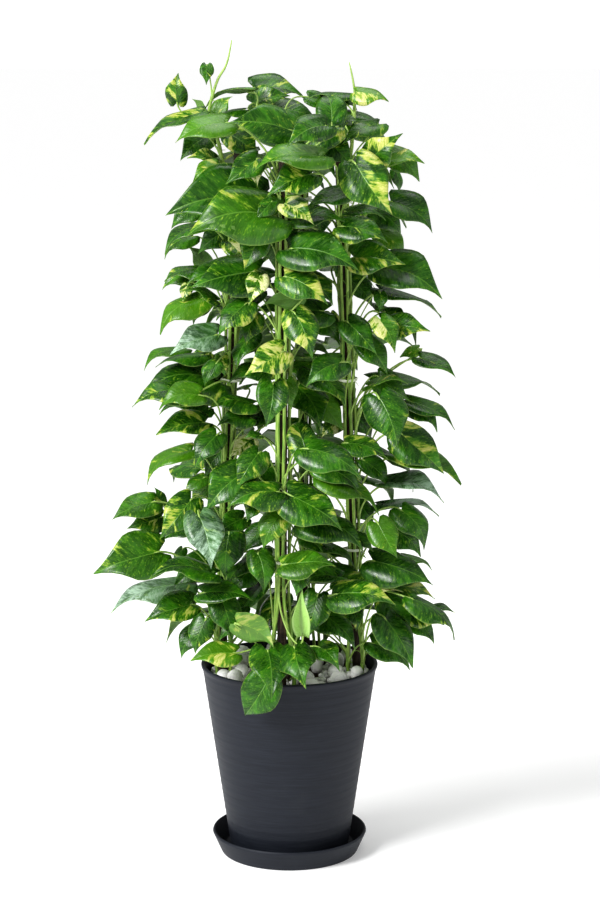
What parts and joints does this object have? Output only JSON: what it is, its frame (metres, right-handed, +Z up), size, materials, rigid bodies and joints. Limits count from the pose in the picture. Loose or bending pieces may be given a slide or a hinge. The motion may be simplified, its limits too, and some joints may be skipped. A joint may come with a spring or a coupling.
{
  "type": "potted climbing plant",
  "caption": "Golden pothos with variegated heart-shaped leaves, trained up four rough poles in a tapered round pot on a matching saucer.",
  "frame": {"origin": "middle of the saucer's flat underside, on the floor", "axes": "+Z up along the pot's axis; -Y towards the plant's front; +X to the right as seen from the front"},
  "size_m": [0.4929, 0.3883, 1.1213],
  "materials": {
    "pot_charcoal": "matte, finely lined round",
    "saucer_charcoal": "matte",
    "soil_dark": "loose, crumbly",
    "pole_fibre": "rough, fibrous",
    "pebble_marble": "tumbled, satin",
    "tie_pale": "satin",
    "pothos_green": "waxy leaf, green marked with cream"
  },
  "bodies": {
    "root": {"pebble_01": "pebble_marble", "pebble_02": "pebble_marble", "pebble_03": "pebble_marble", "pebble_04": "pebble_marble", "pebble_05": "pebble_marble", "pebble_06": "pebble_marble", "pebble_07": "pebble_marble", "pebble_08": "pebble_marble", "pebble_09": "pebble_marble", "pebble_10": "pebble_marble", "pebble_11": "pebble_marble", "pebble_12": "pebble_marble", "pebble_13": "pebble_marble", "pebble_14": "pebble_marble", "pebble_15": "pebble_marble", "pebble_16": "pebble_marble", "pebble_17": "pebble_marble", "pebble_18": "pebble_marble", "pebble_19": "pebble_marble", "pebble_20": "pebble_marble", "pole_back": "pole_fibre", "pole_front": "pole_fibre", "pole_left": "pole_fibre", "pole_right": "pole_fibre", "pot": "pot_charcoal", "saucer": "saucer_charcoal", "soil": "soil_dark", "tie_back_1": "tie_pale", "tie_back_2": "tie_pale", "tie_back_3": "tie_pale", "tie_front_1": "tie_pale", "tie_front_2": "tie_pale", "tie_front_3": "tie_pale", "tie_left_1": "tie_pale", "tie_left_2": "tie_pale", "tie_left_3": "tie_pale", "tie_right_1": "tie_pale", "tie_right_2": "tie_pale", "tie_right_3": "tie_pale", "vine_back_1": "pothos_green", "vine_back_2": "pothos_green", "vine_back_3": "pothos_green", "vine_back_4": "pothos_green", "vine_front_1": "pothos_green", "vine_front_2": "pothos_green", "vine_front_3": "pothos_green", "vine_front_4": "pothos_green", "vine_left_1": "pothos_green", "vine_left_2": "pothos_green", "vine_left_3": "pothos_green", "vine_left_4": "pothos_green", "vine_right_1": "pothos_green", "vine_right_2": "pothos_green", "vine_right_3": "pothos_green", "vine_right_4": "pothos_green"}
  },
  "joints": []
}
